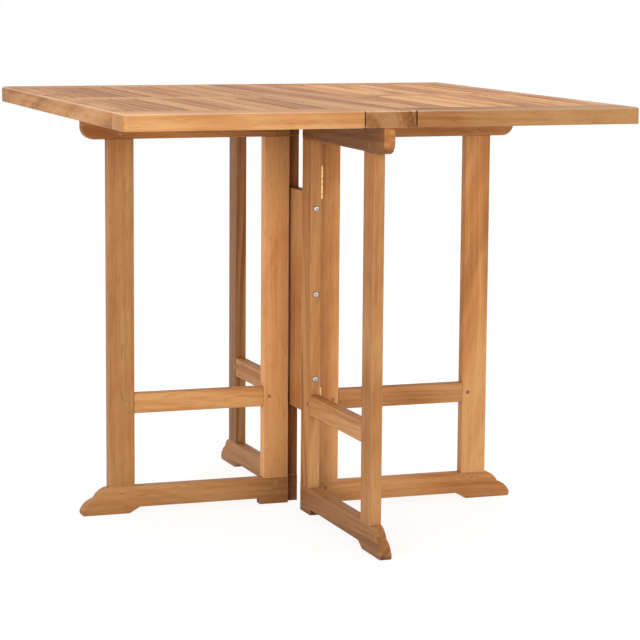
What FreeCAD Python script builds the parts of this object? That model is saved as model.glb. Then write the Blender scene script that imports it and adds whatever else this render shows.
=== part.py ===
"""Folding garden table: a slatted drop-leaf top on a fixed base with two swinging gate frames.

Frame: origin on the floor under the middle of the table, Z up, X across the leaves, Y to the back.
"""
import FreeCAD, Part
import math
import os
import Sketcher

doc = FreeCAD.newDocument("folding_garden_table")
Vector, Rotation, Placement = FreeCAD.Vector, FreeCAD.Rotation, FreeCAD.Placement

SIZES = {
    # table top
    "top_width": 900, "top_depth": 900, "table_height": 750, "top_thick": 28,
    "strip_width": 88, "seam_gap": 2, "seam_bevel": 2.5, "seam_ease": 1.5, "corner_round": 8, "top_ease": 4,
    "end_rail_width": 70, "cross_rail_width": 66, "stile_width": 40,
    "slat_gap": 4, "slat_thick": 20, "slat_ease": 1.5,
    "tongue_length": 8, "tongue_thick": 8, "groove_slack": 0.5,
    # one upright frame: the gates are like the fixed pair, but reach less far
    "frame_thick": 20, "leg_width": 48, "frame_reach": 360, "gate_reach": 340, "toe_overhang": 50,
    "rail_overhang": 46, "rail_height": 45, "rail_round": 22, "cross_height": 36, "cross_bottom": 183,
    "edge_ease": 1.5,
    "foot_height": 49, "arch_height": 11, "inner_pad": 54, "sole_inset": 38, "sole_ramp": 20,
    "toe_under": 2.5, "toe_low": 8, "toe_shelf": 27, "toe_mid": 29,
    "toe_nib": 2, "toe_curve": 34, "toe_round": 9,
    "tenon_length": 26, "tenon_thick": 8, "tenon_shoulder": 6, "tenon_slack": 0.5,
    "peg_radius": 4, "peg_inset": 11, "peg_fit": 0.02,
    # spine board between the two fixed frames and its screws
    "spine_width": 76, "spine_bottom": 184, "spine_rail_gap": 94, "spine_screw_low_gap": 64,
    "spine_screw_high_gap": 28, "spine_screw_radius": 2.5, "spine_screw_bite": 24,
    "button_head_radius": 5, "button_head_height": 2.8, "button_head_ease": 1.8,
    "hex_socket_radius": 1.8, "hex_socket_depth": 1.5,
    # screws from the fixed top rails up into the centre board
    "top_screw_radius": 2.5, "top_screw_bite": 16, "top_screw_head": 5, "top_screw_sink": 12,
    "top_screw_head_height": 4, "top_screw_margin": 90,
    # gates
    "gate_open_angle": 90, "gate_clear": 0.5, "hinge_set": 8,
    "gate_hinge_rail_gap": 49, "gate_hinge_foot_gap": 116,
    # brass butt hinge, the same for the gates and the leaves
    "hinge_height": 60, "hinge_leaf": 13.5, "hinge_plate": 1.5, "hinge_radius": 2.6, "knuckle_clear": 0.35,
    "knuckle_gap": 0.3, "pin_radius": 1.2, "pin_fit": 0.05, "leaf_hinge_inset": 130, "recess_fit": 0.2,
    "hinge_screw_radius": 1.4, "hinge_screw_head": 2.6, "hinge_screw_bite": 11, "hinge_screw_margin": 13,
    "screw_fit": 0.05,
    # reach of every cutting tool past the face that it opens
    "overrun": 1,
}
SLATS = 7
KNUCKLES = 5

sheet = doc.addObject("Spreadsheet::Sheet", "Sizes")
for row, (alias, number) in enumerate(SIZES.items(), start=1):
    sheet.set(f"A{row}", alias)
    sheet.set(f"B{row}", str(number))
    sheet.setAlias(f"B{row}", alias)
doc.recompute()


class Dim:
    """A size or place that keeps its value together with the sheet formula behind it."""

    def __init__(self, value, text):
        self.value, self.text = value, text

    def __add__(self, other):
        return Dim(self.value + other.value, f"({self.text} + {other.text})")

    def __sub__(self, other):
        return Dim(self.value - other.value, f"({self.text} - {other.text})")

    def __mul__(self, factor):
        return Dim(self.value * factor, f"({self.text} * {factor})")

    def __truediv__(self, factor):
        return Dim(self.value / factor, f"({self.text} / {factor})")

    def __neg__(self):
        return Dim(-self.value, f"(-{self.text})")

    __rmul__ = __mul__


class Sheet:
    """Every driving dimension as an attribute."""


size = Sheet()
for alias in SIZES:
    setattr(size, alias, Dim(float(sheet.get(alias)), f"Sizes.{alias}"))
ZERO = Dim(0.0, "0")

# derived places that several pieces share
UNDERSIDE = size.table_height - size.top_thick
RAIL_BOTTOM = UNDERSIDE - size.rail_height
SPINE_HEIGHT = RAIL_BOTTOM - size.spine_rail_gap - size.spine_bottom
KNUCKLE_RISE = size.hinge_radius + size.knuckle_clear
HALF_THICK = size.frame_thick / 2
HALF_SPINE = size.spine_width / 2
STRIP_EDGE = size.strip_width / 2
LEAF_EDGE = STRIP_EDGE + size.seam_gap
AXIS_X = STRIP_EDGE + size.seam_gap / 2
HALF_WIDTH = size.top_width / 2
HALF_DEPTH = size.top_depth / 2
SQUARE = 90
UP, ALONG, ACROSS = Rotation(), Rotation(Vector(0, 1, 0), 90), Rotation(Vector(1, 0, 0), -90)
HALF_TURN = Placement(Vector(), Rotation(Vector(0, 0, 1), 180))

nodes = []


def bind(obj, **sizes):
    for prop, dim in sizes.items():
        setattr(obj, prop, dim.value)
        obj.setExpression(prop, dim.text)


def seat(obj, at, turn=UP):
    obj.Placement = Placement(Vector(*(dim.value for dim in at)), turn)
    for axis, dim in zip("xyz", at):
        obj.setExpression(f"Placement.Base.{axis}", dim.text)
    return obj


def box(lengths, at):
    solid = doc.addObject("Part::Box", "block")
    bind(solid, Length=lengths[0], Width=lengths[1], Height=lengths[2])
    return seat(solid, at)


def rod(radius, length, at, turn=UP):
    solid = doc.addObject("Part::Cylinder", "rod")
    bind(solid, Radius=radius, Height=length)
    return seat(solid, at, turn)


def cone(radius, end_radius, length, at, turn=UP):
    solid = doc.addObject("Part::Cone", "cone")
    bind(solid, Radius1=radius, Radius2=end_radius, Height=length)
    return seat(solid, at, turn)


def fuse(pieces):
    solid = doc.addObject("Part::MultiFuse", "joined")
    solid.Shapes = pieces
    return solid


def group(pieces):
    bundle = doc.addObject("Part::Compound", "group")
    bundle.Links = pieces
    return bundle


def cut(base, tools):
    solid = doc.addObject("Part::Cut", "trimmed")
    solid.Base, solid.Tool = base, group(tools)
    return solid


def edges_where(shape, test):
    return [number for number, edge in enumerate(shape.Edges, start=1) if test(edge)]


def rounded(base, radius, test):
    """Round the edges of base that pass the test."""
    doc.recompute([base])
    solid = doc.addObject("Part::Fillet", "eased")
    solid.Base = base
    solid.Edges = [(number, radius.value, radius.value) for number in edges_where(base.Shape, test)]
    return solid


def bevelled(base, depth, test):
    doc.recompute([base])
    solid = doc.addObject("Part::Chamfer", "bevelled")
    solid.Base = base
    solid.Edges = [(number, depth.value, depth.value) for number in edges_where(base.Shape, test)]
    return solid


def near(value, dim):
    return abs(value - dim.value) < Part.Precision.confusion()


def runs_along(axis):
    """Test for a straight edge along one axis: 0 for X, 1 for Y, 2 for Z."""
    def test(edge):
        ends = [vertex.Point for vertex in edge.Vertexes]
        if len(ends) != 2:
            return False
        step = ends[1] - ends[0]
        return abs(step[axis]) > step.Length * (1 - Part.Precision.confusion())
    return test


def node(solid, label, placement=Placement()):
    solid.Label = label
    solid.Placement = placement
    nodes.append(solid)
    return solid


def profile(body, corners, curves):
    """Closed sketch on the body's upright plane; a curve entry makes that side an arc of this radius."""
    sketch = body.newObject("Sketcher::SketchObject", "outline")
    upright = [plane for plane in body.Origin.OriginFeatures if plane.Role == "XZ_Plane"][0]
    sketch.AttachmentSupport, sketch.MapMode = [(upright, "")], "FlatFace"
    points = [Vector(x.value, y.value, 0) for x, y in corners]
    count = len(points)
    for side, start in enumerate(points):
        end = points[(side + 1) % count]
        if side in curves:
            radius, chord = curves[side].value, end - start
            inward = Vector(-chord.y, chord.x, 0).normalize()
            centre = (start + end) / 2 + inward * math.sqrt(radius ** 2 - (chord.Length / 2) ** 2)
            angles = [math.atan2(point.y - centre.y, point.x - centre.x) for point in (start, end)]
            circle = Part.Circle(centre, Vector(0, 0, 1), radius)
            sketch.addGeometry(Part.ArcOfCircle(circle, *angles), False)
        else:
            sketch.addGeometry(Part.LineSegment(start, end), False)
    for side in range(count):
        sketch.addConstraint(Sketcher.Constraint("Coincident", side, 2, (side + 1) % count, 1))
    for side, (x, y) in enumerate(corners):
        for kind, line, dim in (("DistanceX", -2, x), ("DistanceY", -1, y)):
            if dim is ZERO:
                sketch.addConstraint(Sketcher.Constraint("PointOnObject", side, 1, line))
            else:
                index = sketch.addConstraint(Sketcher.Constraint(kind, -1, 1, side, 1, dim.value))
                sketch.setExpression(f"Constraints[{index}]", dim.text)
    for side, radius in curves.items():
        index = sketch.addConstraint(Sketcher.Constraint("Radius", side, radius.value))
        sketch.setExpression(f"Constraints[{index}]", radius.text)
    return sketch


# upright frames: local X runs outward from the inner edge, local Y through the thickness

MID_Y = HALF_THICK - size.tenon_thick / 2
TENON_WIDTH = size.leg_width - 2 * size.tenon_shoulder
CROSS_TENON = size.cross_height - 2 * size.tenon_shoulder
CROSS_MID = size.cross_bottom + size.cross_height / 2


def on_frame_face(edge):
    """Test for an edge in one of the two faces of an upright frame."""
    return near(edge.CenterOfMass.y, ZERO) or near(edge.CenterOfMass.y, size.frame_thick)


def leg_starts(reach):
    """Where the inner and the outer leg begin in a frame of this reach."""
    return [ZERO, reach - size.leg_width]


def peg_places(reach, rail_top):
    """Centre of each joint peg: both legs in the foot and the top rail, the cross rail in both legs."""
    rail_bottom = rail_top - size.rail_height
    inner, outer = leg_starts(reach)
    places = []
    for start in (inner, outer):
        middle = start + size.leg_width / 2
        places += [(middle, size.foot_height - size.peg_inset), (middle, rail_bottom + size.peg_inset)]
    return places + [(size.leg_width - size.peg_inset, CROSS_MID), (outer + size.peg_inset, CROSS_MID)]


def peg_bores(reach, rail_top):
    bore = size.peg_radius + size.peg_fit
    length = size.frame_thick + 2 * size.overrun
    return [rod(bore, length, (x, -size.overrun, z), ACROSS) for x, z in peg_places(reach, rail_top)]


def pegs(reach, rail_top):
    return group([rod(size.peg_radius, size.frame_thick, (x, ZERO, z), ACROSS)
                  for x, z in peg_places(reach, rail_top)])


def leg_mortises(reach, bottom, height):
    """Mortises over or under both legs, with slack at the tenons' ends only."""
    return [box((TENON_WIDTH, size.tenon_thick, height), (start + size.tenon_shoulder, MID_Y, bottom))
            for start in leg_starts(reach)]


def foot(reach):
    """Foot rail with a moulded toe, a raised arch between its two soles, and leg mortises."""
    sole_start = reach - size.sole_inset
    shelf = reach + size.toe_shelf
    toe = reach + size.toe_overhang
    corners = [
        (ZERO, ZERO), (size.inner_pad, ZERO), (size.inner_pad, size.arch_height),
        (sole_start - size.sole_ramp, size.arch_height), (sole_start, ZERO),
        (toe - size.toe_under, ZERO), (toe, size.toe_low),
        (shelf, size.toe_mid), (shelf - size.toe_nib, size.toe_mid + size.toe_nib),
        (reach, size.foot_height), (ZERO, size.foot_height),
    ]
    body = doc.addObject("PartDesign::Body", "foot_blank")
    pad = body.newObject("PartDesign::Pad", "plank")
    curves = {5: size.toe_round, 6: size.toe_curve, 8: size.toe_curve}
    pad.Profile = profile(body, corners, curves)
    pad.Reversed = True
    bind(pad, Length=size.frame_thick)
    body.Tip = pad
    depth = size.tenon_length + size.tenon_slack
    mortises = leg_mortises(reach, size.foot_height - depth, depth + size.overrun)
    return cut(body, mortises + peg_bores(reach, UNDERSIDE))


def leg(start, reach, rail_top, extra_bores=()):
    """Leg with a stub tenon at each end and a mortise for the cross rail."""
    rail_bottom = rail_top - size.rail_height
    blank = box((size.leg_width, size.frame_thick, rail_bottom - size.foot_height),
                (start, ZERO, size.foot_height))
    blank = rounded(blank, size.edge_ease, runs_along(2))
    tenons = [box((TENON_WIDTH, size.tenon_thick, size.tenon_length),
                  (start + size.tenon_shoulder, MID_Y, bottom))
              for bottom in (size.foot_height - size.tenon_length, rail_bottom)]
    depth = size.tenon_length + size.tenon_slack
    inward = size.leg_width - depth if start is ZERO else -size.overrun
    mortise = box((depth + size.overrun, size.tenon_thick, CROSS_TENON),
                  (start + inward, MID_Y, size.cross_bottom + size.tenon_shoulder))
    return cut(fuse([blank] + tenons), [mortise] + peg_bores(reach, rail_top) + list(extra_bores))


def top_rail(reach, rail_top, extra_bores=()):
    """Top rail with a rounded lower outer end and a mortise over each leg."""
    rail_bottom = rail_top - size.rail_height
    end = reach + size.rail_overhang
    blank = box((end, size.frame_thick, size.rail_height), (ZERO, ZERO, rail_bottom))

    def lower_outer(edge):
        return near(edge.CenterOfMass.x, end) and near(edge.CenterOfMass.z, rail_bottom)

    def shown(edge):
        hidden = near(edge.CenterOfMass.z, rail_top) or near(edge.CenterOfMass.x, ZERO)
        return on_frame_face(edge) and not hidden

    blank = rounded(blank, size.rail_round, lower_outer)
    blank = rounded(blank, size.edge_ease, shown)
    depth = size.tenon_length + size.tenon_slack
    mortises = leg_mortises(reach, rail_bottom - size.overrun, depth + size.overrun)
    return cut(blank, mortises + peg_bores(reach, rail_top) + list(extra_bores))


def cross_rail(reach):
    """Rail between the legs with a stub tenon at each end."""
    length = leg_starts(reach)[1] - size.leg_width
    blank = box((length, size.frame_thick, size.cross_height), (size.leg_width, ZERO, size.cross_bottom))
    blank = rounded(blank, size.edge_ease, runs_along(0))
    tenon = box((length + 2 * size.tenon_length, size.tenon_thick, CROSS_TENON),
                (size.leg_width - size.tenon_length, MID_Y, size.cross_bottom + size.tenon_shoulder))
    return cut(fuse([blank, tenon]), peg_bores(reach, UNDERSIDE))


def upright_frame(name, placement, reach, rail_top, inner_bores=(), rail_bores=()):
    inner, outer = leg_starts(reach)
    node(foot(reach), f"{name}_foot", placement)
    node(leg(inner, reach, rail_top, inner_bores), f"{name}_inner_leg", placement)
    node(leg(outer, reach, rail_top), f"{name}_outer_leg", placement)
    node(cross_rail(reach), f"{name}_cross_rail", placement)
    node(top_rail(reach, rail_top, rail_bores), f"{name}_top_rail", placement)
    node(pegs(reach, rail_top), f"{name}_pegs", placement)


# fixed frames and spine board

FRONT = Placement(Vector(-HALF_THICK.value, -HALF_SPINE.value, 0), Rotation(Vector(0, 0, 1), -90))
BACK = HALF_TURN.multiply(FRONT)
SPINE_SCREW_LOW = size.spine_bottom + size.spine_screw_low_gap
SPINE_SCREW_STEP = (SPINE_HEIGHT - size.spine_screw_low_gap - size.spine_screw_high_gap) / 2
SPINE_SCREW_HEIGHTS = [SPINE_SCREW_LOW + SPINE_SCREW_STEP * step for step in range(3)]
TOP_SCREW_REACHES = [size.top_screw_margin, size.frame_reach - size.top_screw_margin]


def hinge_screw_lifts():
    """Height of each screw above the hinge's lower end."""
    return [size.hinge_screw_margin, size.hinge_height - size.hinge_screw_margin]


HINGE_SCREW_OUT = (KNUCKLE_RISE + size.hinge_leaf) / 2
GATE_HINGE_HEIGHTS = [size.foot_height + size.gate_hinge_foot_gap,
                      RAIL_BOTTOM - size.gate_hinge_rail_gap - size.hinge_height]
PILOT = size.hinge_screw_radius + size.screw_fit
PILOT_DEPTH = size.hinge_screw_bite + size.screw_fit


def fixed_hinge_bores():
    """Pilot holes of the gate hinges in a fixed inner leg, from the face at full thickness."""
    return [rod(PILOT, PILOT_DEPTH + size.overrun,
                (size.hinge_set + HINGE_SCREW_OUT, size.frame_thick - PILOT_DEPTH, bottom + lift), ACROSS)
            for bottom in GATE_HINGE_HEIGHTS for lift in hinge_screw_lifts()]


def gate_hinge_bores():
    """Pilot holes in a gate's inner leg, from its near face."""
    return [rod(PILOT, PILOT_DEPTH + size.overrun,
                (HINGE_SCREW_OUT, -size.overrun, bottom + lift), ACROSS)
            for bottom in GATE_HINGE_HEIGHTS for lift in hinge_screw_lifts()]


def spine_screw_bores():
    bore = size.spine_screw_radius + size.screw_fit
    return [rod(bore, size.leg_width + 2 * size.overrun, (-size.overrun, HALF_THICK, height), ALONG)
            for height in SPINE_SCREW_HEIGHTS]


def top_screw_bores():
    """Clearance hole and head sink in a fixed top rail, from below."""
    bores = []
    for reach in TOP_SCREW_REACHES:
        bores.append(rod(size.top_screw_radius + size.screw_fit, size.rail_height + 2 * size.overrun,
                         (reach, HALF_THICK, RAIL_BOTTOM - size.overrun)))
        bores.append(rod(size.top_screw_head + size.screw_fit, size.top_screw_sink + size.overrun,
                         (reach, HALF_THICK, RAIL_BOTTOM - size.overrun)))
    return bores


def button_head(height):
    """Domed screw head with a hexagon socket, on the outer edge of a fixed inner leg."""
    crown = size.leg_width + size.button_head_height
    blank = rod(size.button_head_radius, size.button_head_height,
                (size.leg_width, HALF_THICK, height), ALONG)
    dome = rounded(blank, size.button_head_ease, lambda edge: near(edge.CenterOfMass.x, crown))
    hexagon = doc.addObject("Part::Prism", "socket")
    hexagon.Polygon = 6
    bind(hexagon, Circumradius=size.hex_socket_radius, Height=size.hex_socket_depth + size.overrun)
    return cut(dome, [seat(hexagon, (crown - size.hex_socket_depth, HALF_THICK, height), ALONG)])


def spine_screws():
    """Button-headed screws through a fixed inner leg into the spine board's edge."""
    screws = []
    for height in SPINE_SCREW_HEIGHTS:
        shank = rod(size.spine_screw_radius, size.leg_width + size.spine_screw_bite,
                    (-size.spine_screw_bite, HALF_THICK, height), ALONG)
        screws.append(fuse([shank, button_head(height)]))
    return screws


def top_screws():
    bottom = RAIL_BOTTOM + size.top_screw_sink
    screws = []
    for reach in TOP_SCREW_REACHES:
        shank = rod(size.top_screw_radius, UNDERSIDE - bottom + size.top_screw_bite,
                    (reach, HALF_THICK, bottom))
        head = rod(size.top_screw_head, size.top_screw_head_height,
                   (reach, HALF_THICK, bottom - size.top_screw_head_height))
        screws.append(fuse([shank, head]))
    return screws


def placed(pieces, placement):
    bundle = group(pieces)
    bundle.Placement = placement
    return bundle


for name, placement in (("front_frame", FRONT), ("back_frame", BACK)):
    upright_frame(name, placement, size.frame_reach, UNDERSIDE,
                  fixed_hinge_bores() + spine_screw_bores(), top_screw_bores())


def spine_board():
    """Board that ties the two fixed frames together, with pilot holes in both edges."""
    blank = box((size.frame_thick, size.spine_width, SPINE_HEIGHT),
                (-HALF_THICK, -HALF_SPINE, size.spine_bottom))
    bore = size.spine_screw_radius + size.screw_fit
    depth = size.spine_screw_bite + size.screw_fit
    length = depth + size.overrun
    tools = []
    for height in SPINE_SCREW_HEIGHTS:
        tools.append(rod(bore, length, (ZERO, -HALF_SPINE - size.overrun, height), ACROSS))
        tools.append(rod(bore, length, (ZERO, HALF_SPINE - depth, height), ACROSS))
    return cut(blank, tools)


node(spine_board(), "spine_board")
node(group([placed(spine_screws(), FRONT), placed(spine_screws(), BACK)]), "spine_screws")
node(group([placed(top_screws(), FRONT), placed(top_screws(), BACK)]), "top_screws")

# gates

GATE_PIN = Vector(HALF_THICK.value + KNUCKLE_RISE.value, -HALF_SPINE.value - size.hinge_set.value, 0)
GATE_TURN = Rotation(Vector(0, 0, 1), size.gate_open_angle.value - SQUARE)
PIN_IN_GATE = Vector(0, -KNUCKLE_RISE.value, 0)
GATE_RIGHT = Placement(GATE_PIN - GATE_TURN.multVec(PIN_IN_GATE), GATE_TURN)
GATE_LEFT = HALF_TURN.multiply(GATE_RIGHT)
GATE_TOP = UNDERSIDE - size.gate_clear

for name, placement in (("right_gate", GATE_RIGHT), ("left_gate", GATE_LEFT)):
    upright_frame(name, placement, size.gate_reach, GATE_TOP, gate_hinge_bores())

# brass butt hinges: local Z is the pin axis, local X runs out along the plate

KNUCKLE_LENGTH = (size.hinge_height - (KNUCKLES - 1) * size.knuckle_gap) / KNUCKLES
KNUCKLE_STEP = KNUCKLE_LENGTH + size.knuckle_gap


def hinge_plate(moving, let_in):
    """One hinge leaf: its plate, its knuckles, the pin bore and countersunk screw holes."""
    face = KNUCKLE_RISE - size.hinge_plate if moving else -KNUCKLE_RISE
    pieces = [box((size.hinge_leaf - KNUCKLE_RISE, size.hinge_plate, size.hinge_height),
                  (KNUCKLE_RISE, face, ZERO))]
    bores = []
    for count in range(1 if moving else 0, KNUCKLES, 2):
        start = KNUCKLE_STEP * count
        pieces.append(rod(size.hinge_radius, KNUCKLE_LENGTH, (ZERO, ZERO, start)))
        pieces.append(box((KNUCKLE_RISE, size.hinge_plate, KNUCKLE_LENGTH), (ZERO, face, start)))
    bores.append(rod(size.pin_radius + size.pin_fit, size.hinge_height + 2 * size.overrun,
                     (ZERO, ZERO, -size.overrun)))
    shank = size.hinge_screw_radius + size.screw_fit
    head = size.hinge_screw_head + size.screw_fit
    ends = (head, shank) if moving != let_in else (shank, head)
    for lift in hinge_screw_lifts():
        bores.append(cone(*ends, size.hinge_plate, (HINGE_SCREW_OUT, face, lift), ACROSS))
    return cut(fuse(pieces), bores)


def hinge_pin():
    return rod(size.pin_radius, size.hinge_height, (ZERO, ZERO, ZERO))


def hinge_screws(moving, let_in):
    """Countersunk screws through one hinge leaf; a leaf that is let in has its wood on the pin's side."""
    face = KNUCKLE_RISE - size.hinge_plate if moving else -KNUCKLE_RISE
    if moving != let_in:
        ends, shank_start = (size.hinge_screw_head, size.hinge_screw_radius), face + size.hinge_plate
    else:
        ends, shank_start = (size.hinge_screw_radius, size.hinge_screw_head), face - size.hinge_screw_bite
    screws = []
    for lift in hinge_screw_lifts():
        head = cone(*ends, size.hinge_plate, (HINGE_SCREW_OUT, face, lift), ACROSS)
        shank = rod(size.hinge_screw_radius, size.hinge_screw_bite,
                    (HINGE_SCREW_OUT, shank_start, lift), ACROSS)
        screws.append(fuse([head, shank]))
    return screws


def lifted(turn, height):
    return Placement(GATE_PIN + Vector(0, 0, height.value), turn)


GATE_FIXED = [lifted(Rotation(Vector(0, 0, 1), -90), height) for height in GATE_HINGE_HEIGHTS]
GATE_MOVING = [lifted(GATE_TURN, height) for height in GATE_HINGE_HEIGHTS]

# leaf hinges lie flush in the underside, their knuckles in pockets across the seam

LEAF_MOVING_TURN = ACROSS
LEAF_FIXED_TURN = ACROSS.multiply(Rotation(Vector(0, 0, 1), 180))
LEAF_HINGE_STARTS = [-HALF_DEPTH + size.leaf_hinge_inset,
                     HALF_DEPTH - size.leaf_hinge_inset - size.hinge_height]
AXIS_Z = UNDERSIDE + KNUCKLE_RISE
LEAF_AXIS = [Vector(AXIS_X.value, start.value, AXIS_Z.value) for start in LEAF_HINGE_STARTS]
LEAF_FIXED = [Placement(point, LEAF_FIXED_TURN) for point in LEAF_AXIS]
LEAF_MOVING = [Placement(point, LEAF_MOVING_TURN) for point in LEAF_AXIS]


def hinge_nodes(name, fixed_places, moving_places, turn, let_in):
    """Hinge leaves, pins and the moving leaf's screws of one joint; gives back the fixed leaf's screws."""
    def spread(make, places):
        return group([placed(make(), turn.multiply(place)) for place in places])

    node(spread(lambda: [hinge_plate(False, let_in)], fixed_places), f"{name}_hinge_fixed_leaves")
    node(spread(lambda: [hinge_plate(True, let_in)], moving_places), f"{name}_hinge_moving_leaves")
    node(spread(lambda: [hinge_pin()], fixed_places), f"{name}_hinge_pins")
    node(spread(lambda: hinge_screws(True, let_in), moving_places), f"{name}_hinge_screws")
    return spread(lambda: hinge_screws(False, let_in), fixed_places)


NO_TURN = Placement()
base_screws = [
    hinge_nodes("right_gate", GATE_FIXED, GATE_MOVING, NO_TURN, False),
    hinge_nodes("left_gate", GATE_FIXED, GATE_MOVING, HALF_TURN, False),
    hinge_nodes("right_leaf", LEAF_FIXED, LEAF_MOVING, NO_TURN, True),
    hinge_nodes("left_leaf", LEAF_FIXED, LEAF_MOVING, HALF_TURN, True),
]
node(group(base_screws), "base_hinge_screws")

# table top: local +X is the side of the right leaf, the left leaf is turned half round

LEAF_WIDTH = HALF_WIDTH - LEAF_EDGE
STILE_START = -HALF_DEPTH + size.end_rail_width
STILE_LENGTH = size.top_depth - 2 * size.end_rail_width
FIELD_START = LEAF_EDGE + size.stile_width
FIELD_WIDTH = LEAF_WIDTH - 2 * size.stile_width
SLAT_WIDTH = (FIELD_WIDTH - (SLATS + 1) * size.slat_gap) / SLATS
HALF_CROSS = size.cross_rail_width / 2
SLAT_BOTTOM = size.table_height - size.slat_thick
TONGUE_BOTTOM = SLAT_BOTTOM + (size.slat_thick - size.tongue_thick) / 2


def leaf_hinge_cuts(side):
    """Recesses and pilot holes of the leaf hinges; side is -1 in the strip and 1 in the leaf."""
    outer = size.hinge_leaf + size.recess_fit
    left = AXIS_X if side > 0 else AXIS_X - outer
    pocket = KNUCKLE_RISE + size.recess_fit
    length = size.hinge_height + 2 * size.recess_fit
    cuts = []
    for start in LEAF_HINGE_STARTS:
        cuts.append(box((outer, length, size.hinge_plate + size.overrun),
                        (left, start - size.recess_fit, UNDERSIDE - size.overrun)))
        cuts.append(box((2 * pocket, length, 2 * KNUCKLE_RISE + size.overrun),
                        (AXIS_X - pocket, start - size.recess_fit, UNDERSIDE - size.overrun)))
        for lift in hinge_screw_lifts():
            cuts.append(rod(PILOT, size.hinge_plate + PILOT_DEPTH,
                            (AXIS_X + HINGE_SCREW_OUT * side, start + lift, UNDERSIDE)))
    return cuts


def seam_lower(edge_x):
    """Test for the lower long edge that faces the seam at edge_x."""
    along = runs_along(1)

    def test(edge):
        middle = edge.CenterOfMass
        return along(edge) and near(middle.x, edge_x) and near(middle.z, UNDERSIDE)
    return test


def top_upper(edge):
    """Test for every edge of the top's upper face."""
    return near(edge.CenterOfMass.z, size.table_height)


def centre_board():
    """Fixed strip between the leaves, bevelled below along both seams."""
    blank = box((size.strip_width, size.top_depth, size.top_thick), (-STRIP_EDGE, -HALF_DEPTH, UNDERSIDE))
    blank = bevelled(blank, size.seam_bevel,
                     lambda edge: seam_lower(STRIP_EDGE)(edge) or seam_lower(-STRIP_EDGE)(edge))
    blank = rounded(blank, size.top_ease, lambda edge: top_upper(edge) and runs_along(0)(edge))
    blank = rounded(blank, size.seam_ease, lambda edge: top_upper(edge) and runs_along(1)(edge))
    tools = leaf_hinge_cuts(-1)
    bore = size.top_screw_radius + size.screw_fit
    depth = size.top_screw_bite + size.screw_fit
    for reach in TOP_SCREW_REACHES:
        for side in (-1, 1):
            tools.append(rod(bore, depth + size.overrun,
                             (ZERO, (HALF_SPINE + reach) * side, UNDERSIDE - size.overrun)))
    mirrored = group(leaf_hinge_cuts(-1))
    mirrored.Placement = HALF_TURN
    return cut(blank, tools + [mirrored])


def groove(at_y):
    """Groove for the slats' tongues, open towards the slats."""
    depth = size.tongue_length + size.groove_slack
    return box((FIELD_WIDTH, depth + size.overrun, size.tongue_thick), (FIELD_START, at_y, TONGUE_BOTTOM))


def end_rail(side):
    """Rail across the front or back of a leaf; side is -1 at the front and 1 at the back."""
    start = -HALF_DEPTH if side < 0 else HALF_DEPTH - size.end_rail_width
    blank = box((LEAF_WIDTH, size.end_rail_width, size.top_thick), (LEAF_EDGE, start, UNDERSIDE))

    def outer_corner(edge):
        middle = edge.CenterOfMass
        return near(middle.x, HALF_WIDTH) and near(middle.y, HALF_DEPTH * side)

    def seam_edge(edge):
        return seam_lower(LEAF_EDGE)(edge)

    blank = rounded(blank, size.corner_round, lambda edge: runs_along(2)(edge) and outer_corner(edge))
    blank = bevelled(blank, size.seam_bevel, seam_edge)
    inner_y = (HALF_DEPTH - size.end_rail_width) * side

    def seam_upper(edge):
        return top_upper(edge) and near(edge.CenterOfMass.x, LEAF_EDGE)

    def nosing(edge):
        return top_upper(edge) and not near(edge.CenterOfMass.y, inner_y) and not seam_upper(edge)

    blank = rounded(blank, size.top_ease, nosing)
    blank = rounded(blank, size.seam_ease, seam_upper)
    depth = size.tongue_length + size.groove_slack
    return cut(blank, [groove(inner_y - depth if side < 0 else inner_y - size.overrun)])


def stile(inner):
    """Long edge piece of a leaf between its end rails."""
    start = LEAF_EDGE if inner else HALF_WIDTH - size.stile_width
    blank = box((size.stile_width, STILE_LENGTH, size.top_thick), (start, STILE_START, UNDERSIDE))
    edge_x = LEAF_EDGE if inner else HALF_WIDTH
    if inner:
        blank = bevelled(blank, size.seam_bevel, seam_lower(LEAF_EDGE))
    ease = size.seam_ease if inner else size.top_ease
    blank = rounded(blank, ease, lambda edge: top_upper(edge) and near(edge.CenterOfMass.x, edge_x))
    return cut(blank, leaf_hinge_cuts(1)) if inner else blank


def leaf_cross_rail():
    """Rail across the middle of a leaf, grooved on both sides for the slats."""
    blank = box((FIELD_WIDTH, size.cross_rail_width, size.top_thick), (FIELD_START, -HALF_CROSS, UNDERSIDE))
    depth = size.tongue_length + size.groove_slack
    return cut(blank, [groove(HALF_CROSS - depth), groove(-HALF_CROSS - size.overrun)])


def slat_field(side):
    """Slats of the front or back half of a leaf, tongued into the rails at both ends."""
    length = HALF_DEPTH - size.end_rail_width - HALF_CROSS
    start = -HALF_CROSS - length if side < 0 else HALF_CROSS
    slats = []
    for count in range(SLATS):
        left = FIELD_START + size.slat_gap + (SLAT_WIDTH + size.slat_gap) * count
        blank = box((SLAT_WIDTH, length, size.slat_thick), (left, start, SLAT_BOTTOM))
        along = runs_along(1)
        blank = rounded(blank, size.slat_ease, lambda edge: top_upper(edge) and along(edge))
        tongue = box((SLAT_WIDTH, length + 2 * size.tongue_length, size.tongue_thick),
                     (left, start - size.tongue_length, TONGUE_BOTTOM))
        slats.append(fuse([blank, tongue]))
    return group(slats)


def top_leaf(name, placement):
    node(end_rail(-1), f"{name}_end_rail_a", placement)
    node(end_rail(1), f"{name}_end_rail_b", placement)
    node(stile(True), f"{name}_inner_stile", placement)
    node(stile(False), f"{name}_outer_stile", placement)
    node(leaf_cross_rail(), f"{name}_cross_rail", placement)
    node(slat_field(-1), f"{name}_slats_a", placement)
    node(slat_field(1), f"{name}_slats_b", placement)


node(centre_board(), "centre_board")
top_leaf("right_leaf", NO_TURN)
top_leaf("left_leaf", HALF_TURN)

doc.recompute()

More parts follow.
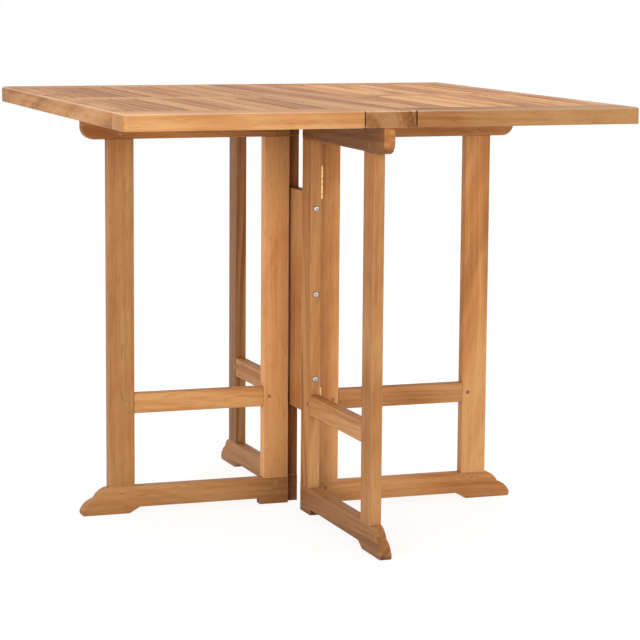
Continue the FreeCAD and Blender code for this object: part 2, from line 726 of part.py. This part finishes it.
for obj in doc.Objects:
    if "Invalid" in obj.State or "Error" in obj.State:
        raise RuntimeError(f"{obj.Label} did not build: {obj.State}")
os.makedirs("parts", exist_ok=True)
for solid in nodes:
    if solid.Shape.isNull() or not solid.Shape.isValid():
        raise RuntimeError(f"{solid.Label} has no valid shape")
    solid.Shape.exportStep(f"parts/{solid.Label}.step")
print(len(nodes), "nodes written")
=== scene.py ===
"""Looks of the folding garden table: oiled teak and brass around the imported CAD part, in a white studio."""
import math

import bpy
from mathutils import Matrix, Vector


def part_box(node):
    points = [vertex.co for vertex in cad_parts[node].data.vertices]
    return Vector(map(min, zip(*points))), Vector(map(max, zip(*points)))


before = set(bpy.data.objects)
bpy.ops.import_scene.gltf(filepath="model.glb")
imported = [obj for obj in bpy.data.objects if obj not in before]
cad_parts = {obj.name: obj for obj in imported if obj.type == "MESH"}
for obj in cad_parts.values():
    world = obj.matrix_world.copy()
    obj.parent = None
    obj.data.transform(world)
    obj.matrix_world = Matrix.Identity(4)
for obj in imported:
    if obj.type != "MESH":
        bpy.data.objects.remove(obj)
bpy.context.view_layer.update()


# node trees

MIX_FIRST, MIX_SECOND, MIX_RESULT = 6, 7, 2  # places of the Mix node's colour sockets


class Shader:
    """The node tree of one material or world, built by short calls."""

    def __init__(self, owner):
        owner.use_nodes = True
        self.owner = owner
        self.tree = owner.node_tree
        self.tree.nodes.clear()

    def add(self, kind, sockets=(), **settings):
        """One node. Its sockets take a link or a value."""
        made = self.tree.nodes.new("ShaderNode" + kind)
        for key, value in settings.items():
            setattr(made, key, value)
        for key, value in dict(sockets).items():
            if isinstance(value, bpy.types.NodeSocket):
                self.tree.links.new(value, made.inputs[key])
            else:
                made.inputs[key].default_value = value
        return made

    def math(self, operation, *values):
        return self.add("Math", enumerate(values), operation=operation).outputs[0]

    def vector(self, operation, *values, result="Vector"):
        return self.add("VectorMath", enumerate(values), operation=operation).outputs[result]

    def noise(self, place, detail, scale=1.0, rough=0.55, size="3D"):
        sockets = {"Scale": scale, "Detail": detail, "Roughness": rough}
        sockets["W" if size == "1D" else "Vector"] = place
        return self.add("TexNoise", sockets, noise_dimensions=size)

    def ramp(self, factor, stops):
        made = self.add("ValToRGB", {0: factor})
        points = made.color_ramp.elements
        for place, _ in stops[1:-1]:
            points.new(place)
        for point, (place, colour) in zip(points, stops):
            point.position, point.color = place, (*colour, 1.0)
        return made.outputs["Color"]

    def span(self, value, low, high, to_low=0.0, to_high=1.0):
        """The value mapped from low and high onto to_low and to_high."""
        return self.add("MapRange", enumerate((value, low, high, to_low, to_high))).outputs[0]

    def mix(self, factor, first, second, blend="MIX"):
        first, second = (value if isinstance(value, bpy.types.NodeSocket) else (*value, 1.0)
                         for value in (first, second))
        made = self.add("Mix", {0: factor, MIX_FIRST: first, MIX_SECOND: second},
                        data_type="RGBA", blend_type=blend)
        return made.outputs[MIX_RESULT]

    def finish(self, **sockets):
        """Close a material with one principled surface."""
        surface = self.add("BsdfPrincipled", sockets)
        self.add("OutputMaterial", {"Surface": surface.outputs[0]})
        return self.owner


def lit(colour, tone):
    """The colour made lighter or darker."""
    return tuple(channel * tone for channel in colour)


def grey(level):
    return (level, level, level, 1.0)


EDGE_SPAN, EDGE_SAMPLES = (0.995, 0.80), 6
NEARNESS_SAMPLES = 8


def edge_mask(shader, radius):
    """1 along the piece's edges, 0 on its flats."""
    soft = shader.add("Bevel", {"Radius": radius}, samples=EDGE_SAMPLES).outputs[0]
    hard = shader.add("NewGeometry").outputs["Normal"]
    facing = shader.vector("DOT_PRODUCT", soft, hard, result="Value")
    return shader.span(facing, *EDGE_SPAN)


def nearness(shader, reach):
    """1 in the open, less in corners and near other pieces."""
    return shader.add("AmbientOcclusion", {"Distance": reach}, samples=NEARNESS_SAMPLES).outputs["AO"]


# wood: the grain of each material slot and the tone of each piece

PEG_SLOT, SLAT_SLOT = "teak_pegs", "teak_slats"
# turns that bring the grain onto local X, in degrees about X, Y and Z
ALONG_X, ALONG_Y, ALONG_Z = (0, 0, 0), (0, 0, -90), (0, 90, 0)
GRAIN_TURN = {
    "teak_upright": ALONG_Z,
    "teak_gate": ALONG_X,
    "teak_depth": ALONG_Y,
    "teak_across": ALONG_X,
    SLAT_SLOT: ALONG_Y,
    "teak_boards": ALONG_Y,
    PEG_SLOT: ALONG_Y,
}
# slots whose rounded upper edge gets a painted highlight
HIGHLIGHTED_NOSING_SLOTS = ("teak_across", "teak_boards")
# tone of single pieces against the middle of the wood, as the photo shows them
PLAIN_TONE, PEG_TONE = 1.0, 1.08
# these tones hold the wood's own variation and also painted light and shade: front_frame_top_rail and
# back_frame_outer_leg are darker where shade falls, right_leaf_end_rail_a is darker and left_leaf_end_rail_b
# lighter to match how the light falls on the two front edges, and left_gate_inner_leg is lighter against the
# shade under the top
TONE = {
    "centre_board": 0.97,
    "left_leaf_inner_stile": 0.95, "right_leaf_inner_stile": 1.14,
    "left_leaf_outer_stile": 1.05, "right_leaf_outer_stile": 1.10,
    "left_leaf_cross_rail": 1.06, "right_leaf_cross_rail": 1.12,
    "left_leaf_end_rail_b": 1.08, "right_leaf_end_rail_a": 0.76,
    "right_leaf_slats_a": 1.24, "right_leaf_slats_b": 1.24,
    "front_frame_inner_leg": 0.90, "back_frame_inner_leg": 0.94,
    "front_frame_outer_leg": 0.88, "back_frame_outer_leg": 0.62,
    "front_frame_foot": 0.74, "back_frame_foot": 0.92,
    "front_frame_top_rail": 0.58, "front_frame_pegs": 0.78,
    "spine_board": 0.92,
    "left_gate_inner_leg": 1.28, "right_gate_inner_leg": 1.22,
    "left_gate_outer_leg": 0.80, "right_gate_outer_leg": 1.20,
    "left_gate_foot": 0.90, "right_gate_foot": 1.20,
    "left_gate_cross_rail": 1.12, "right_gate_cross_rail": 0.95,
}
# shift of single pieces along the wood's colours, from dark heartwood to pale
# front_frame_top_rail's darker shift and left_gate_inner_leg's paler shift are part of the same painted shade
# and light
PALER = {
    "left_leaf_end_rail_b": 0.03, "front_frame_top_rail": -0.07, "spine_board": 0.07,
    "left_gate_inner_leg": 0.16, "right_gate_inner_leg": 0.09,
    "right_gate_outer_leg": 0.08, "right_gate_foot": 0.03, "left_gate_cross_rail": 0.03,
}

# where the heart of a piece's tree lies from the middle of the piece, in metres, stepped by its seed
HEART_ALONG_STEP = 1.37
HEART_ASIDE, HEART_ASIDE_STEP = 0.06, 2.1
HEART_BELOW, HEART_BELOW_SWING, HEART_BELOW_STEP = 0.045, 0.03, 1.3

# slats: the first one's distance from the table's middle and the pitch, in metres, and how slats differ
SLAT_START, SLAT_PITCH = 0.088, 0.0457143
SLAT_SEED_STEP = 11.0
SLAT_SCATTER = (3.0, 3.0, 0.1)
SLAT_PALER_SPAN = (0.0, 1.0, -0.11, 0.13)

# figure of the grain: scales per metre, along the grain and across it, then detail and roughness
SWAY_SCALE, SWAY_DETAIL = (1.1, 6.0, 6.0), 2.0
SWAY_MIDDLE, SWAY_REACH = (0.5, 0.5, 0.5), (0.0, 0.045, 0.045)
RING_STRETCH = (0.02, 1.0, 1.0)
RINGS, BANDS = (260.0, 2.0, 0.6), (62.0, 1.0, 0.5)
STREAKS, FIBRES = ((2.2, 130.0, 130.0), 3.0), ((26.0, 1100.0, 1100.0), 2.0)
PORES, PORE_SPAN = ((34.0, 620.0, 620.0), 1.0), (0.60, 0.72)

# colour of the wood
WOOD_DARK, WOOD_MID, WOOD_LIGHT = (0.35, 0.130, 0.036), (0.57, 0.250, 0.083), (0.70, 0.365, 0.142)
WOOD_STOPS = ((0.37, WOOD_DARK), (0.49, WOOD_MID), (0.61, WOOD_LIGHT))
RING_SHARE, BAND_SHARE, STREAK_SHARE = 0.34, 0.36, 0.30
FIBRE_SPAN = (0.35, 0.65, 0.0, 0.16)
PORE_SHARE, PORE_TONE = 0.30, 0.55
# painted shade: ambient occlusion darkens the wood in corners, under the top and between nearby pieces
CREVICE_SHADE_REACH, CREVICE_SHADE_SPAN, CREVICE_SHADE_TINT = 0.15, (0.28, 0.70, 0.90, 0.0), (0.40, 0.33, 0.30)
END_SPAN, END_TINT = (0.70, 0.95), (1.0, 0.97, 0.96)
# front_frame_top_rail's end grain is raised so its end face stays light while its sides keep the painted
# shade of its dark tone
END_TONE, END_TONES = 0.86, {"centre_board": 0.66, "front_frame_top_rail": 1.70}
# paler edges: partly wear, partly a painted highlight where the edges catch the light
WEAR_AND_HIGHLIGHT_RADIUS, WEAR_AND_HIGHLIGHT_SPAN, WEAR_AND_HIGHLIGHT_PALE = 0.0022, (0.35, 0.60, 0.15, 0.75), (0.80, 0.50, 0.29)
# painted highlight on the rounded upper edge of the top: where it is not as steep as its sides and not as
# level as its upper face
NOSING_STEEP_SPAN, NOSING_LEVEL_SPAN = (0.30, 0.60), (0.985, 0.90)
NOSING_STREAK_SPAN, NOSING_HIGHLIGHT_PALE = (0.30, 0.62, 0.35, 0.80), (0.86, 0.62, 0.42)

# surface of the wood
WOOD_ROUGH_SPAN = (0.3, 1.3, 0.46, 0.66)
WOOD_SPECULAR = 0.13
FIBRE_RELIEF, PORE_RELIEF, RING_RELIEF = 0.5, 0.6, 0.25
WOOD_BUMP, WOOD_BUMP_DEPTH = 0.35, 0.0005
EDGE_SOFT, EDGE_SOFT_SAMPLES = 0.0018, 8


def grain_axes(turn):
    """The turn as a matrix."""
    axes = Matrix.Identity(3)
    for axis, angle in zip("XYZ", turn):
        axes = Matrix.Rotation(math.radians(angle), 3, axis) @ axes
    return axes


def grain_place(shader, surface, turn, centre, seed):
    """Coordinates along and across the grain, from the heart of the piece's own tree."""
    mapped = shader.add("Mapping", {"Vector": surface, "Location": grain_axes(turn) @ -Vector(centre),
                                    "Rotation": [math.radians(angle) for angle in turn]}).outputs[0]
    heart = (seed * HEART_ALONG_STEP,
             math.sin(seed * HEART_ASIDE_STEP) * HEART_ASIDE,
             HEART_BELOW + HEART_BELOW_SWING * math.cos(seed * HEART_BELOW_STEP))
    return shader.vector("ADD", mapped, heart)


def slat_chance(shader, surface, seed):
    """Chance values that are the same all over one slat."""
    across = shader.add("SeparateXYZ", {0: surface}).outputs["X"]
    inset = shader.math("SUBTRACT", shader.math("ABSOLUTE", across), SLAT_START)
    count = shader.math("FLOOR", shader.math("DIVIDE", inset, SLAT_PITCH))
    count = shader.math("ADD", count, seed * SLAT_SEED_STEP)
    return shader.add("TexWhiteNoise", {"W": count}, noise_dimensions="1D")


def grain(shader, place):
    """Growth rings, broader bands, streaks, fibres and pores."""
    sway = shader.noise(shader.vector("MULTIPLY", place, SWAY_SCALE), SWAY_DETAIL).outputs["Color"]
    sway = shader.vector("MULTIPLY", shader.vector("SUBTRACT", sway, SWAY_MIDDLE), SWAY_REACH)
    bent = shader.vector("ADD", place, sway)
    radius = shader.vector("LENGTH", shader.vector("MULTIPLY", bent, RING_STRETCH), result="Value")
    rings, bands = (
        shader.noise(shader.math("MULTIPLY", radius, scale), detail, rough=rough, size="1D").outputs[0]
        for scale, detail, rough in (RINGS, BANDS))
    streaks, fibres, pores = (
        shader.noise(shader.vector("MULTIPLY", bent, scale), detail).outputs[0]
        for scale, detail in (STREAKS, FIBRES, PORES))
    return rings, bands, streaks, fibres, shader.span(pores, *PORE_SPAN)


def teak(name, turn, centre, seed, tone, paler, slats=False, highlighted_nosing=False):
    """Oiled teak: growth rings, streaks and pores along the grain, darker end grain, paler edges that are
    partly wear and partly painted highlight, painted shade in corners and near other pieces, and a painted
    highlight on the top's rounded upper edge.
    """
    shader = Shader(bpy.data.materials.new(name))
    coordinates = shader.add("TexCoord")
    surface, normal = coordinates.outputs["Object"], coordinates.outputs["Normal"]
    place = grain_place(shader, surface, turn, centre, seed)
    if slats:
        chance = slat_chance(shader, surface, seed)
        scatter = shader.vector("MULTIPLY", chance.outputs["Color"], SLAT_SCATTER)
        place = shader.vector("ADD", place, scatter)
    rings, bands, streaks, fibres, pores = grain(shader, place)

    figure = shader.math("ADD", shader.math("MULTIPLY", rings, RING_SHARE),
                         shader.math("MULTIPLY", bands, BAND_SHARE))
    figure = shader.math("ADD", figure, shader.math("MULTIPLY", streaks, STREAK_SHARE))
    figure = shader.math("ADD", figure, paler)
    if slats:
        figure = shader.math("ADD", figure, shader.span(chance.outputs["Value"], *SLAT_PALER_SPAN))
    wood = shader.ramp(figure, [(stop, lit(colour, tone)) for stop, colour in WOOD_STOPS])
    wood = shader.mix(shader.span(fibres, *FIBRE_SPAN), wood, lit(WOOD_DARK, tone))
    wood = shader.mix(shader.math("MULTIPLY", pores, PORE_SHARE), wood, lit(WOOD_DARK, PORE_TONE * tone))

    # painted shade: the wood is darkened in corners and near other pieces by ambient occlusion
    painted_shade = shader.span(nearness(shader, CREVICE_SHADE_REACH), *CREVICE_SHADE_SPAN)
    wood = shader.mix(painted_shade, wood, CREVICE_SHADE_TINT, "MULTIPLY")
    along = grain_axes(turn).inverted() @ Vector((1.0, 0.0, 0.0))
    end = shader.vector("DOT_PRODUCT", normal, along, result="Value")
    end = shader.span(shader.math("ABSOLUTE", end), *END_SPAN)
    wood = shader.mix(end, wood, lit(END_TINT, END_TONES.get(name, END_TONE)), "MULTIPLY")
    # paler edges, partly wear and partly painted highlight
    wear_and_highlight = shader.math("MULTIPLY", edge_mask(shader, WEAR_AND_HIGHLIGHT_RADIUS), shader.span(streaks, *WEAR_AND_HIGHLIGHT_SPAN))
    wood = shader.mix(wear_and_highlight, wood, lit(WEAR_AND_HIGHLIGHT_PALE, tone))
    # painted highlight along the rounded upper edge of the top
    if highlighted_nosing:
        rise = shader.add("SeparateXYZ", {0: normal}).outputs["Z"]
        nosing_highlight = shader.math("MULTIPLY", shader.span(rise, *NOSING_STEEP_SPAN),
                             shader.span(rise, *NOSING_LEVEL_SPAN))
        nosing_highlight = shader.math("MULTIPLY", nosing_highlight, shader.span(streaks, *NOSING_STREAK_SPAN))
        wood = shader.mix(nosing_highlight, wood, lit(NOSING_HIGHLIGHT_PALE, tone))

    rough = shader.span(shader.math("ADD", fibres, pores), *WOOD_ROUGH_SPAN)
    relief = shader.math("SUBTRACT", shader.math("MULTIPLY", fibres, FIBRE_RELIEF),
                         shader.math("MULTIPLY", pores, PORE_RELIEF))
    relief = shader.math("ADD", relief, shader.math("MULTIPLY", rings, RING_RELIEF))
    soft = shader.add("Bevel", {"Radius": EDGE_SOFT}, samples=EDGE_SOFT_SAMPLES).outputs[0]
    bump = shader.add("Bump", {"Height": relief, "Strength": WOOD_BUMP, "Distance": WOOD_BUMP_DEPTH,
                               "Normal": soft}).outputs[0]
    return shader.finish(**{"Base Color": wood, "Roughness": rough, "Normal": bump,
                            "Specular IOR Level": WOOD_SPECULAR})


# metal: brass hinges with their screws, steel screws in the wood

BRASS_SLOT = "hinge_brass"
BRASS, BRASS_EDGE = (0.70, 0.47, 0.19), (0.93, 0.76, 0.43)
STEEL, STEEL_EDGE = (0.50, 0.49, 0.47), (0.78, 0.78, 0.77)
METAL_SEED_STEP = (1.0, 0.7, 1.9)
CLOUD_SCALE, CLOUD_DETAIL = 160.0, 3.0
BRUSH_SCALE, BRUSH_DETAIL = (2600.0, 2600.0, 240.0), 2.0
TARNISH_SPAN, TARNISH_SHARE, TARNISH_TONE, TARNISH_ROUGH = (0.48, 0.70), 0.55, 0.45, 0.2
RUBBED_RADIUS, RUBBED_SHARE = 0.0006, 0.6
# painted shade: ambient occlusion darkens the metal in its sockets and where it meets the wood
HOLLOW_SHADE_REACH, HOLLOW_SHADE_SPAN, HOLLOW_SHADE_TONE = 0.003, (0.35, 0.80, 0.85, 0.0), 0.12
BRUSH_ROUGH_SPAN = (0.3, 0.7, 0.24, 0.36)
METAL_BUMP, METAL_BUMP_DEPTH = 0.15, 0.0001


def metal(name, colour, edge, seed):
    """Lightly tarnished metal with fine brushing, rubbed edges and painted shade in its hollows."""
    shader = Shader(bpy.data.materials.new(name))
    shift = [seed * step for step in METAL_SEED_STEP]
    place = shader.vector("ADD", shader.add("TexCoord").outputs["Object"], shift)
    clouds = shader.noise(place, CLOUD_DETAIL, CLOUD_SCALE).outputs[0]
    brushed = shader.noise(shader.vector("MULTIPLY", place, BRUSH_SCALE), BRUSH_DETAIL).outputs[0]
    tarnish = shader.span(clouds, *TARNISH_SPAN)
    tint = shader.mix(shader.math("MULTIPLY", tarnish, TARNISH_SHARE), colour, lit(colour, TARNISH_TONE))
    rubbed = shader.math("MULTIPLY", edge_mask(shader, RUBBED_RADIUS), RUBBED_SHARE)
    tint = shader.mix(rubbed, tint, edge)
    # painted shade in the hollows and around the heads
    hollow_shade = shader.span(nearness(shader, HOLLOW_SHADE_REACH), *HOLLOW_SHADE_SPAN)
    tint = shader.mix(hollow_shade, tint, lit(colour, HOLLOW_SHADE_TONE))
    rough = shader.math("ADD", shader.span(brushed, *BRUSH_ROUGH_SPAN),
                        shader.math("MULTIPLY", tarnish, TARNISH_ROUGH))
    bump = shader.add("Bump", {"Height": brushed, "Strength": METAL_BUMP,
                               "Distance": METAL_BUMP_DEPTH}).outputs[0]
    return shader.finish(**{"Base Color": tint, "Metallic": 1.0, "Roughness": rough, "Normal": bump})


def dress(order, name, piece):
    """Give one CAD node its own finish for the slot that the record names."""
    slot = piece.material_slots[0].material.name
    if slot in GRAIN_TURN:
        lowest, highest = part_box(name)
        tone = TONE.get(name, PEG_TONE if slot == PEG_SLOT else PLAIN_TONE)
        turn = GRAIN_TURN[slot]
        if slot == PEG_SLOT and "gate" not in name:
            turn = ALONG_X  # the fixed frames' pegs lie across the gates' pegs
        made = teak(name, turn, (lowest + highest) / 2, order + 1, tone, PALER.get(name, 0.0),
                    slot == SLAT_SLOT, slot in HIGHLIGHTED_NOSING_SLOTS)
    else:
        colours = (BRASS, BRASS_EDGE) if slot == BRASS_SLOT else (STEEL, STEEL_EDGE)
        made = metal(name, *colours, order)
    piece.material_slots[0].material = made


for order, (name, piece) in enumerate(sorted(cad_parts.items())):
    dress(order, name, piece)


# white studio: the floor and the world look white, but light the table only at a plain level

FLOOR_REACH, FLOOR_DROP = 40.0, 0.0004
FLOOR_CORNERS = ((-1, -1), (1, -1), (1, 1), (-1, 1))
FLOOR_PLAIN, FLOOR_GLOW, FLOOR_TINT = 0.86, 0.86, 0.24
WORLD_WHITE, WORLD_FILL = 1.0, 0.60
LAMPS = (  # name, place and aim in metres, power in watts, width in metres
    ("key", (-3.6, -4.1, 1.7), (0.0, 0.0, 0.4), 118.0, 3.0),
    ("side", (1.9, -5.0, 1.2), (0.0, 0.0, 0.4), 34.0, 2.6),
    ("top", (0.3, 1.2, 4.6), (0.0, 0.0, 0.7), 45.0, 3.0),
)


def seen_directly(shader):
    """1 for rays that show the background itself: from the camera, or by reflection or through glass."""
    path = shader.add("LightPath")
    seen = shader.math("MAXIMUM", path.outputs["Is Camera Ray"], path.outputs["Is Glossy Ray"])
    return shader.math("MAXIMUM", seen, path.outputs["Is Transmission Ray"])


def studio_floor():
    """White floor that keeps the table's shadow and is clear from below."""
    mesh = bpy.data.meshes.new("studio_floor")
    corners = [(x * FLOOR_REACH, y * FLOOR_REACH, -FLOOR_DROP) for x, y in FLOOR_CORNERS]
    mesh.from_pydata(corners, [], [range(len(corners))])
    floor = bpy.data.objects.new("studio_floor", mesh)
    bpy.context.scene.collection.objects.link(floor)
    shader = Shader(bpy.data.materials.new("studio_floor"))
    plain = shader.add("BsdfDiffuse", {"Color": grey(FLOOR_PLAIN)}).outputs[0]
    catcher = shader.add("BsdfDiffuse", {"Color": grey(FLOOR_TINT)}).outputs[0]
    glow = shader.add("Emission", {"Strength": FLOOR_GLOW}).outputs[0]
    shown = shader.add("AddShader", {0: glow, 1: catcher}).outputs[0]
    surface = shader.add("MixShader", {0: seen_directly(shader), 1: plain, 2: shown}).outputs[0]
    clear = shader.add("BsdfTransparent").outputs[0]
    below = shader.add("NewGeometry").outputs["Backfacing"]
    surface = shader.add("MixShader", {0: below, 1: surface, 2: clear}).outputs[0]
    shader.add("OutputMaterial", {"Surface": surface})
    mesh.materials.append(shader.owner)


def studio_world():
    """White where it is seen, weaker where it lights."""
    shader = Shader(bpy.data.worlds.new("studio"))
    bpy.context.scene.world = shader.owner
    strength = shader.span(seen_directly(shader), 0.0, 1.0, WORLD_FILL, WORLD_WHITE)
    light = shader.add("Background", {"Color": grey(WORLD_WHITE), "Strength": strength}).outputs[0]
    shader.add("OutputWorld", {"Surface": light})


def lamp(name, place, aim, power, width):
    """Round area lamp that faces its aim."""
    data = bpy.data.lights.new(name, "AREA")
    data.energy, data.shape, data.size = power, "DISK", width
    holder = bpy.data.objects.new(name, data)
    holder.location = place
    holder.rotation_euler = (Vector(aim) - Vector(place)).to_track_quat("-Z", "Y").to_euler()
    bpy.context.scene.collection.objects.link(holder)


studio_floor()
studio_world()
for row in LAMPS:
    lamp(*row)


# camera: the photo's viewing angle, fitted to the table's corners and legs

IMAGE_SIDE, SENSOR = 640, 36.0
FOCAL_PIXELS = 2440.0
CAMERA_PLACE = (-1.4407, -4.1560, 0.9823)
YAW, PITCH, ROLL = 0.3421, 0.1442, -0.0076


def studio_camera():
    """Camera turned by yaw, pitch and roll, in radians, from a level look along +Y."""
    data = bpy.data.cameras.new("camera")
    data.sensor_width = SENSOR
    data.lens = FOCAL_PIXELS / IMAGE_SIDE * SENSOR
    holder = bpy.data.objects.new("camera", data)
    bpy.context.scene.collection.objects.link(holder)
    level = Vector((math.sin(YAW), math.cos(YAW), 0.0))
    forward = level * math.cos(PITCH) + Vector((0.0, 0.0, -math.sin(PITCH)))
    right = Vector((math.cos(YAW), -math.sin(YAW), 0.0))
    up = right.cross(forward)
    rolled_right = right * math.cos(ROLL) - up * math.sin(ROLL)
    rolled_up = up * math.cos(ROLL) + right * math.sin(ROLL)
    axes = Matrix((rolled_right, rolled_up, -forward)).transposed().to_4x4()
    holder.matrix_world = Matrix.Translation(CAMERA_PLACE) @ axes
    bpy.context.scene.camera = holder


studio_camera()
bpy.context.scene.view_settings.view_transform = "Standard"
